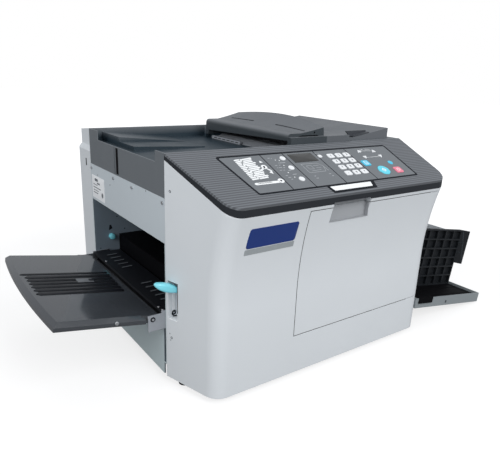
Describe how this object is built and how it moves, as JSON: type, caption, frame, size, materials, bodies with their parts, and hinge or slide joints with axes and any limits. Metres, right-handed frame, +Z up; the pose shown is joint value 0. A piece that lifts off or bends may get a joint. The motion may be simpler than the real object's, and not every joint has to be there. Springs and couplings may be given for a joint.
{
  "type": "office machine with hinged covers",
  "caption": "Desktop digital duplicator with a sloping key panel, a hinged original feeder, a fold-up paper feed tray on the left and a delivery tray with side fences on the right.",
  "frame": {"origin": "centre of the four stand-fixing holes on the underside of the frame pan", "axes": "+X to the right along the paper path, +Y to the back, +Z up"},
  "size_m": [1.2058, 0.6555, 0.5174],
  "materials": {
    "cover_grey": "fine satin moulded cover",
    "frame_steel": "coated sheet steel",
    "housing_grey": "dark satin housing",
    "panel_grey": "finely ridged satin",
    "trim_navy": "dark satin skirt",
    "overlay_grey": "printed film",
    "lid_grey": "satin moulded lid",
    "black_plastic": "satin black",
    "dark_plastic": "dark satin",
    "fence_black": "satin black with lighter worn edges",
    "tray_gloss": "glossy dark grey",
    "lever_blue": "smooth light blue",
    "roller_rubber": "matt ground rubber",
    "drum_screen": "fine screen mesh",
    "master_film": "thin film on a roll",
    "bright_steel": "zinc plated",
    "foot_rubber": "matt moulded rubber",
    "key_white": "satin key cap",
    "key_teal": "satin key cap",
    "key_red": "satin key cap",
    "key_grey": "satin key cap"
  },
  "bodies": {
    "body": {"chassis": "frame_steel", "delivery_tray": "cover_grey", "delivery_tray_floor": "black_plastic", "drive_motor": "bright_steel", "drum_holder": "cover_grey", "feed_guide": "black_plastic", "feet": "foot_rubber", "front_cover": "cover_grey", "left_upper_panel": "cover_grey", "original_table": "lid_grey", "panel_case": "panel_grey", "panel_overlay": "overlay_grey", "panel_trim": "trim_navy", "power_inlet": "black_plastic", "rear_cover": "cover_grey", "right_cover": "cover_grey", "scan_unit": "black_plastic", "scanner_housing": "housing_grey", "screws": "bright_steel", "thermal_head": "black_plastic"},
    "door": {"front_door": "cover_grey"},
    "feeder_lid": {"feeder_lid": "lid_grey"},
    "original_roller": {"original_roller": "roller_rubber"},
    "original_fence_front": {"original_fence_front": "dark_plastic"},
    "original_fence_rear": {"original_fence_rear": "dark_plastic"},
    "feed_table": {"feed_table": "black_plastic"},
    "feed_tray": {"feed_tray": "tray_gloss"},
    "lock_lever": {"lock_lever": "lever_blue"},
    "separation_knob": {"separation_knob": "lever_blue"},
    "pickup_roller": {"pickup_roller": "roller_rubber"},
    "print_drum": {"print_drum": "drum_screen"},
    "press_roller": {"press_roller": "roller_rubber"},
    "master_roll": {"master_roll": "master_film"},
    "delivery_fence_front": {"delivery_fence_front": "fence_black"},
    "delivery_fence_rear": {"delivery_fence_rear": "fence_black"},
    "end_fence": {"end_fence": "cover_grey"},
    "power_switch": {"power_switch": "black_plastic"},
    "arrow_key_1": {"arrow_key_1": "key_white"},
    "arrow_key_2": {"arrow_key_2": "key_white"},
    "arrow_key_3": {"arrow_key_3": "key_white"},
    "arrow_key_4": {"arrow_key_4": "key_white"},
    "display_key": {"display_key": "key_white"},
    "master_key": {"master_key": "key_teal"},
    "mode_key_1": {"mode_key_1": "key_white"},
    "mode_key_2": {"mode_key_2": "key_white"},
    "mode_key_3": {"mode_key_3": "key_white"},
    "number_key_01": {"number_key_01": "key_white"},
    "number_key_02": {"number_key_02": "key_white"},
    "number_key_03": {"number_key_03": "key_white"},
    "number_key_04": {"number_key_04": "key_white"},
    "number_key_05": {"number_key_05": "key_white"},
    "number_key_06": {"number_key_06": "key_white"},
    "number_key_07": {"number_key_07": "key_white"},
    "number_key_08": {"number_key_08": "key_white"},
    "number_key_09": {"number_key_09": "key_white"},
    "number_key_10": {"number_key_10": "key_white"},
    "number_key_11": {"number_key_11": "key_white"},
    "number_key_12": {"number_key_12": "key_white"},
    "start_key": {"start_key": "key_grey"},
    "stop_key": {"stop_key": "key_red"}
  },
  "joints": [
    {"name": "door_hinge", "type": "hinge", "parent": "body", "child": "door", "pos_m": [0.316, -0.2875, 0.197], "axis": [0, 0, 1], "range_deg": [0, 95]},
    {"name": "lid_hinge", "type": "hinge", "parent": "body", "child": "feeder_lid", "pos_m": [-0.0155, -0.0215, 0.424], "axis": [0, -1, 0], "range_deg": [0, 60]},
    {"name": "original_roller_turn", "type": "hinge", "parent": "feeder_lid", "child": "original_roller", "pos_m": [0.045, -0.0215, 0.4245], "axis": [0, 1, 0], "continuous": true},
    {"name": "original_fence_front_slide", "type": "slide", "parent": "body", "child": "original_fence_front", "axis": [0, 1, 0], "range_m": [0, 0.11]},
    {"name": "original_fence_rear_slide", "type": "slide", "parent": "body", "child": "original_fence_rear", "axis": [0, 1, 0], "range_m": [-0.11, 0]},
    {"name": "feed_table_lift", "type": "slide", "parent": "body", "child": "feed_table", "axis": [0, 0, 1], "range_m": [0, 0.09]},
    {"name": "feed_tray_hinge", "type": "hinge", "parent": "feed_table", "child": "feed_tray", "pos_m": [-0.347, 0, 0.1075], "axis": [0, 1, 0], "range_deg": [0, 80]},
    {"name": "lever_hinge", "type": "hinge", "parent": "body", "child": "lock_lever", "pos_m": [-0.305, -0.22, 0.171], "axis": [0, -1, 0], "range_deg": [0, 40]},
    {"name": "separation_turn", "type": "hinge", "parent": "body", "child": "separation_knob", "pos_m": [-0.277, 0.19, 0.155], "axis": [0, 1, 0], "range_deg": [-120, 120]},
    {"name": "pickup_turn", "type": "hinge", "parent": "body", "child": "pickup_roller", "pos_m": [-0.24, 0, 0.231], "axis": [0, 1, 0], "continuous": true},
    {"name": "drum_turn", "type": "hinge", "parent": "body", "child": "print_drum", "pos_m": [0.06, 0, 0.195], "axis": [0, 1, 0], "continuous": true},
    {"name": "press_turn", "type": "hinge", "parent": "body", "child": "press_roller", "pos_m": [0.06, 0, 0.0865], "axis": [0, 1, 0], "continuous": true},
    {"name": "master_turn", "type": "hinge", "parent": "body", "child": "master_roll", "pos_m": [-0.12, 0, 0.3], "axis": [0, 1, 0], "continuous": true},
    {"name": "side_fence_front_slide", "type": "slide", "parent": "body", "child": "delivery_fence_front", "axis": [0, 1, 0], "range_m": [0, 0.035]},
    {"name": "side_fence_rear_slide", "type": "slide", "parent": "body", "child": "delivery_fence_rear", "axis": [0, 1, 0], "range_m": [-0.035, 0]},
    {"name": "end_fence_slide", "type": "slide", "parent": "body", "child": "end_fence", "axis": [-0.9858, 0, 0.1681], "range_m": [0, 0.2]},
    {"name": "switch_rock", "type": "hinge", "parent": "body", "child": "power_switch", "pos_m": [0.315, 0.15, 0.29], "axis": [0, 1, 0], "range_deg": [-8, 8]},
    {"name": "arrow_key_1_press", "type": "slide", "parent": "body", "child": "arrow_key_1", "axis": [0, -0.4283, 0.9036], "range_m": [-0.001, 0], "stiffness_N_per_m": 300},
    {"name": "arrow_key_2_press", "type": "slide", "parent": "body", "child": "arrow_key_2", "axis": [0, -0.4283, 0.9036], "range_m": [-0.001, 0], "stiffness_N_per_m": 300},
    {"name": "arrow_key_3_press", "type": "slide", "parent": "body", "child": "arrow_key_3", "axis": [0, -0.4283, 0.9036], "range_m": [-0.001, 0], "stiffness_N_per_m": 300},
    {"name": "arrow_key_4_press", "type": "slide", "parent": "body", "child": "arrow_key_4", "axis": [0, -0.4283, 0.9036], "range_m": [-0.001, 0], "stiffness_N_per_m": 300},
    {"name": "display_key_press", "type": "slide", "parent": "body", "child": "display_key", "axis": [0, -0.4283, 0.9036], "range_m": [-0.001, 0], "stiffness_N_per_m": 300},
    {"name": "master_key_press", "type": "slide", "parent": "body", "child": "master_key", "axis": [0, -0.4283, 0.9036], "range_m": [-0.001, 0], "stiffness_N_per_m": 400},
    {"name": "mode_key_1_press", "type": "slide", "parent": "body", "child": "mode_key_1", "axis": [0, -0.4283, 0.9036], "range_m": [-0.001, 0], "stiffness_N_per_m": 300},
    {"name": "mode_key_2_press", "type": "slide", "parent": "body", "child": "mode_key_2", "axis": [0, -0.4283, 0.9036], "range_m": [-0.001, 0], "stiffness_N_per_m": 300},
    {"name": "mode_key_3_press", "type": "slide", "parent": "body", "child": "mode_key_3", "axis": [0, -0.4283, 0.9036], "range_m": [-0.001, 0], "stiffness_N_per_m": 300},
    {"name": "number_key_01_press", "type": "slide", "parent": "body", "child": "number_key_01", "axis": [0, -0.4283, 0.9036], "range_m": [-0.001, 0], "stiffness_N_per_m": 300},
    {"name": "number_key_02_press", "type": "slide", "parent": "body", "child": "number_key_02", "axis": [0, -0.4283, 0.9036], "range_m": [-0.001, 0], "stiffness_N_per_m": 300},
    {"name": "number_key_03_press", "type": "slide", "parent": "body", "child": "number_key_03", "axis": [0, -0.4283, 0.9036], "range_m": [-0.001, 0], "stiffness_N_per_m": 300},
    {"name": "number_key_04_press", "type": "slide", "parent": "body", "child": "number_key_04", "axis": [0, -0.4283, 0.9036], "range_m": [-0.001, 0], "stiffness_N_per_m": 300},
    {"name": "number_key_05_press", "type": "slide", "parent": "body", "child": "number_key_05", "axis": [0, -0.4283, 0.9036], "range_m": [-0.001, 0], "stiffness_N_per_m": 300},
    {"name": "number_key_06_press", "type": "slide", "parent": "body", "child": "number_key_06", "axis": [0, -0.4283, 0.9036], "range_m": [-0.001, 0], "stiffness_N_per_m": 300},
    {"name": "number_key_07_press", "type": "slide", "parent": "body", "child": "number_key_07", "axis": [0, -0.4283, 0.9036], "range_m": [-0.001, 0], "stiffness_N_per_m": 300},
    {"name": "number_key_08_press", "type": "slide", "parent": "body", "child": "number_key_08", "axis": [0, -0.4283, 0.9036], "range_m": [-0.001, 0], "stiffness_N_per_m": 300},
    {"name": "number_key_09_press", "type": "slide", "parent": "body", "child": "number_key_09", "axis": [0, -0.4283, 0.9036], "range_m": [-0.001, 0], "stiffness_N_per_m": 300},
    {"name": "number_key_10_press", "type": "slide", "parent": "body", "child": "number_key_10", "axis": [0, -0.4283, 0.9036], "range_m": [-0.001, 0], "stiffness_N_per_m": 300},
    {"name": "number_key_11_press", "type": "slide", "parent": "body", "child": "number_key_11", "axis": [0, -0.4283, 0.9036], "range_m": [-0.001, 0], "stiffness_N_per_m": 300},
    {"name": "number_key_12_press", "type": "slide", "parent": "body", "child": "number_key_12", "axis": [0, -0.4283, 0.9036], "range_m": [-0.001, 0], "stiffness_N_per_m": 300},
    {"name": "start_key_press", "type": "slide", "parent": "body", "child": "start_key", "axis": [0, -0.4283, 0.9036], "range_m": [-0.001, 0], "stiffness_N_per_m": 400},
    {"name": "stop_key_press", "type": "slide", "parent": "body", "child": "stop_key", "axis": [0, -0.4283, 0.9036], "range_m": [-0.001, 0], "stiffness_N_per_m": 400}
  ],
  "couplings": [
    {"joint": "original_fence_rear_slide", "follows": "original_fence_front_slide", "ratio": -1},
    {"joint": "side_fence_rear_slide", "follows": "side_fence_front_slide", "ratio": -1},
    {"joint": "press_turn", "follows": "drum_turn", "ratio": -4.4}
  ]
}
